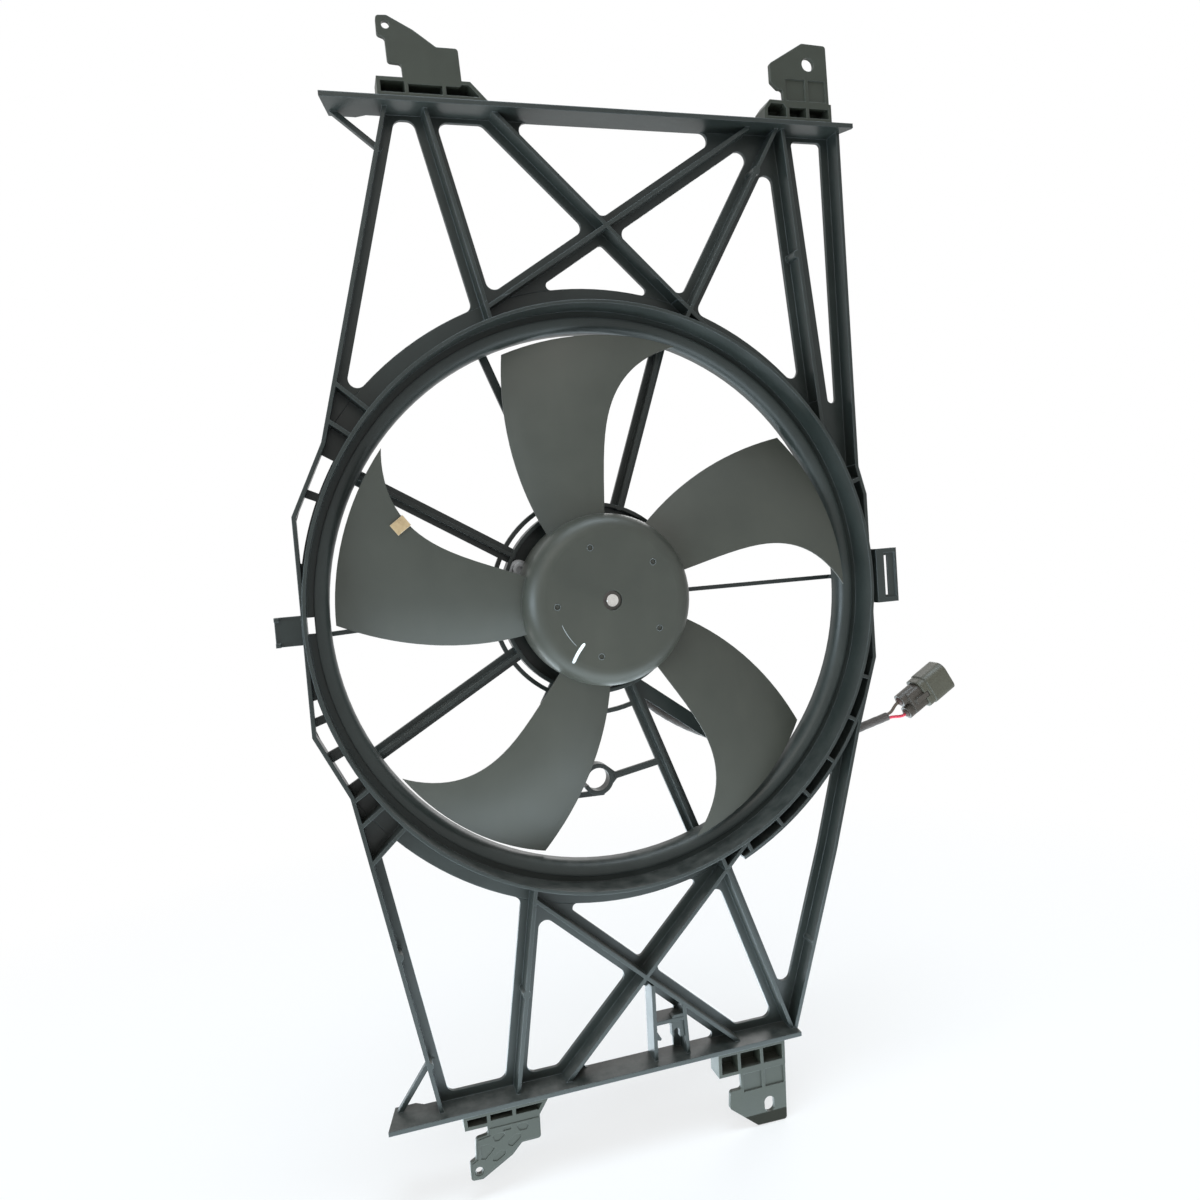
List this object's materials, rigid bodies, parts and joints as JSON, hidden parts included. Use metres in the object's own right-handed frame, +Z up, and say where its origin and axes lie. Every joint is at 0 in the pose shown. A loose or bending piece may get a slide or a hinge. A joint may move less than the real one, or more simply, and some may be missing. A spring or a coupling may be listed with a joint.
{
  "type": "radiator cooling fan",
  "caption": "Electric radiator fan: five-bladed wheel on a spoked motor carrier inside a round shroud held in a tall ribbed open frame with bolt tabs and a plug lead.",
  "frame": {"origin": "on the fan axis in the plane of the front rim, which faces the radiator", "axes": "+Z up in the vehicle, +Y along the air flow away from the radiator, +X to the right seen from the radiator"},
  "size_m": [0.491, 0.089, 0.736],
  "materials": {
    "frame_plastic": "satin glass-filled polypropylene, dark teal grey",
    "wheel_plastic": "satin polypropylene, dark grey",
    "clip_steel": "yellow passivated spring steel",
    "bright_steel": "ground bright steel",
    "lamination_steel": "electrical steel",
    "copper": "enamelled copper",
    "zinc_steel": "zinc plated sheet steel",
    "ferrite": "sintered ferrite",
    "bronze": "sintered bronze",
    "phenolic": "phenolic board",
    "carbon": "pressed carbon",
    "black_rubber": "moulded rubber",
    "sleeve_fabric": "woven tape over the cable",
    "red_insulation": "red insulation",
    "black_insulation": "brown-black insulation",
    "plug_dark": "dark nylon",
    "plug_olive": "olive grey nylon",
    "terminal_brass": "tin plated brass"
  },
  "bodies": {
    "frame": {"shroud_ring": "frame_plastic", "upper_truss": "frame_plastic", "lower_truss": "frame_plastic", "top_left_tab": "frame_plastic", "top_right_tab": "frame_plastic", "bottom_left_tab": "frame_plastic", "bottom_right_tab": "frame_plastic", "left_side_clip": "frame_plastic", "right_side_clip": "frame_plastic", "motor_carrier": "frame_plastic", "motor_can": "zinc_steel", "motor_end_cap": "zinc_steel", "field_magnets": "ferrite", "front_bearing": "bronze", "rear_bearing": "bronze", "brush_holder": "phenolic", "upper_brush_spring": "bright_steel", "lower_brush_spring": "bright_steel", "motor_screws": "zinc_steel", "cable_grommet": "black_rubber", "cable_sleeve": "sleeve_fabric", "red_wire": "red_insulation", "black_wire": "black_insulation", "connector_rear": "plug_dark", "connector_shell": "plug_olive", "connector_terminals": "terminal_brass"},
    "rotor": {"fan_wheel": "wheel_plastic", "balance_clip": "clip_steel", "hub_retainer": "bright_steel", "motor_shaft": "bright_steel", "armature_core": "lamination_steel", "armature_windings": "copper", "commutator": "copper"},
    "upper_brush_body": {"upper_brush": "carbon"},
    "lower_brush_body": {"lower_brush": "carbon"}
  },
  "joints": [
    {"name": "fan_spin", "type": "hinge", "parent": "frame", "child": "rotor", "pos_m": [0, 0, 0], "axis": [0, 1, 0], "continuous": true},
    {"name": "upper_brush_slide", "type": "slide", "parent": "frame", "child": "upper_brush_body", "axis": [0, 0, 1], "range_m": [0, 0.004], "stiffness_N_per_m": 300, "springref_m": -0.004, "deforming": ["upper_brush_spring"]},
    {"name": "lower_brush_slide", "type": "slide", "parent": "frame", "child": "lower_brush_body", "axis": [0, 0, -1], "range_m": [0, 0.004], "stiffness_N_per_m": 300, "springref_m": -0.004, "deforming": ["lower_brush_spring"]}
  ]
}
